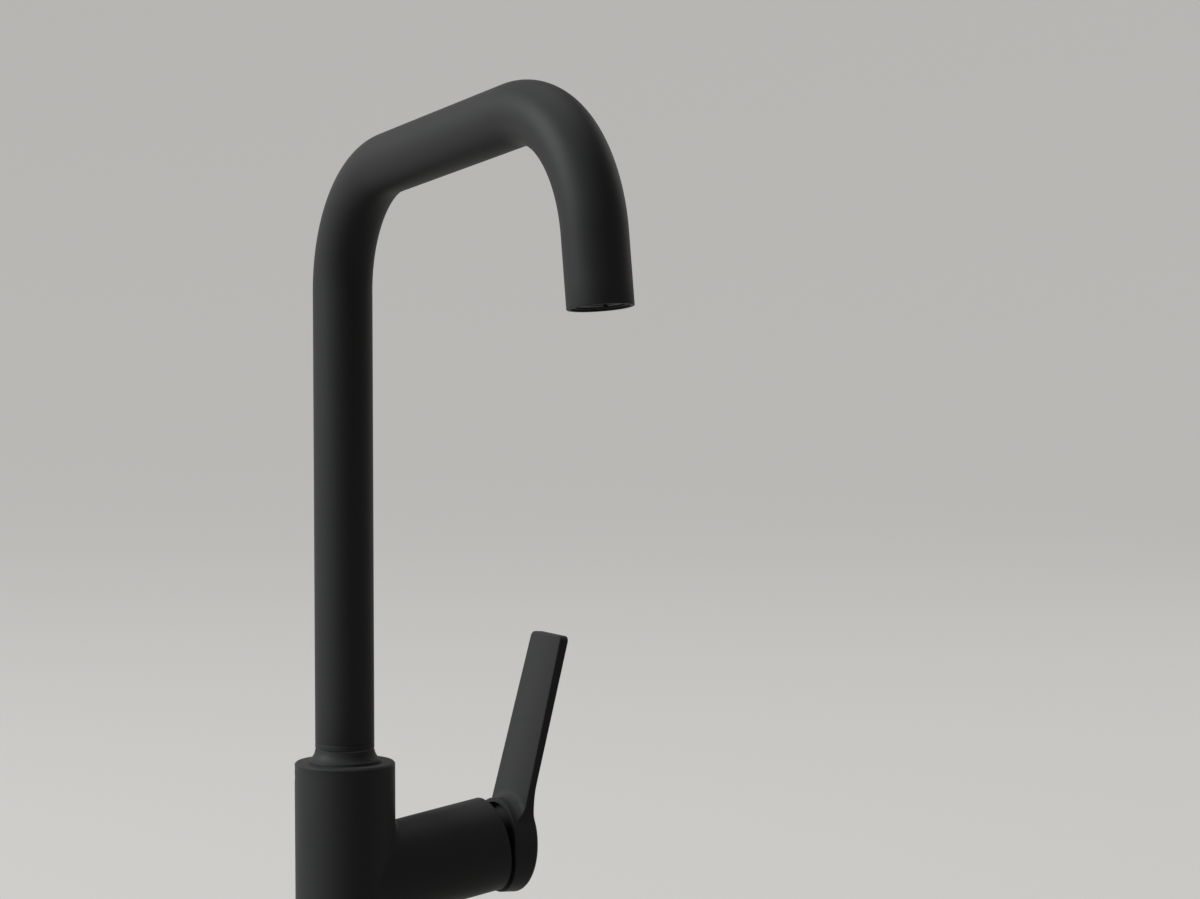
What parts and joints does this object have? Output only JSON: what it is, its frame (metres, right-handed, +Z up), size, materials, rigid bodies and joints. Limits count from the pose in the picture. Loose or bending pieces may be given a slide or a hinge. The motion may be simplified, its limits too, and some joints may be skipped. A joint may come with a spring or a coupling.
{
  "type": "kitchen tap",
  "caption": "Deck-mounted single-lever kitchen tap with a tall squared swivel spout, a side valve boss and a flat paddle lever, in a matt dark coating.",
  "frame": {"origin": "centre of the base ring's underside, on the deck's top face", "axes": "+Z up along the column, the spout points to -Y at rest, the valve boss and lever to +X"},
  "size_m": [0.1432, 0.2814, 0.4982],
  "materials": {
    "matt_coating": "matt dark powder coat on brass",
    "plain_brass": "turned brass",
    "stainless_steel": "turned and pressed stainless steel",
    "black_rubber": "moulded rubber",
    "moulded_plastic": "moulded plastic",
    "valve_ceramic": "lapped ceramic"
  },
  "bodies": {
    "tap_body": {"body_casting": "matt_coating", "base_ring": "matt_coating", "base_seal": "black_rubber", "threaded_shank": "plain_brass", "deck_gasket": "black_rubber", "deck_washer": "stainless_steel", "mounting_nut": "plain_brass", "nut_jack_screws": "stainless_steel", "swivel_collar": "matt_coating", "upper_glide_ring": "moulded_plastic", "swivel_stop_screw": "stainless_steel", "cartridge_housing": "moulded_plastic", "cartridge_base": "moulded_plastic", "port_seals": "black_rubber", "fixed_disc": "valve_ceramic", "retaining_nut": "plain_brass", "valve_dome": "matt_coating"},
    "spout": {"spout_tube": "matt_coating", "spout_foot": "plain_brass", "spout_o_rings": "black_rubber", "lower_glide_ring": "moulded_plastic", "snap_ring": "stainless_steel", "outlet_insert": "plain_brass", "aerator_housing": "moulded_plastic", "aerator_core": "moulded_plastic", "aerator_seal": "black_rubber", "flow_regulator": "moulded_plastic"},
    "valve_rotor": {"stem_rotor": "moulded_plastic", "pivot_pin": "stainless_steel", "temperature_limit_ring": "moulded_plastic"},
    "lever": {"lever_handle": "matt_coating", "lever_spindle": "stainless_steel", "handle_set_screw": "stainless_steel", "index_plug": "matt_coating"},
    "disc_slide": {"disc_carrier": "moulded_plastic", "moving_disc": "valve_ceramic"}
  },
  "joints": [
    {"name": "spout_swivel", "type": "hinge", "parent": "tap_body", "child": "spout", "pos_m": [0, 0, 0.122], "axis": [0, 0, 1], "range_deg": [-75, 75]},
    {"name": "lever_temperature", "type": "hinge", "parent": "tap_body", "child": "valve_rotor", "pos_m": [0.07413, 0, 0.07525], "axis": [0.9893, 0, 0.1461], "range_deg": [-45, 45]},
    {"name": "lever_flow", "type": "hinge", "parent": "valve_rotor", "child": "lever", "pos_m": [0.07413, 0, 0.07525], "axis": [0, 1, 0], "range_deg": [-16.5, 0]},
    {"name": "disc_travel", "type": "slide", "parent": "valve_rotor", "child": "disc_slide", "axis": [-0.1461, 0, 0.9893], "range_m": [-0.0043, 0]}
  ],
  "couplings": [
    {"joint": "disc_travel", "follows": "lever_flow", "m_per_rad": 0.014907}
  ]
}
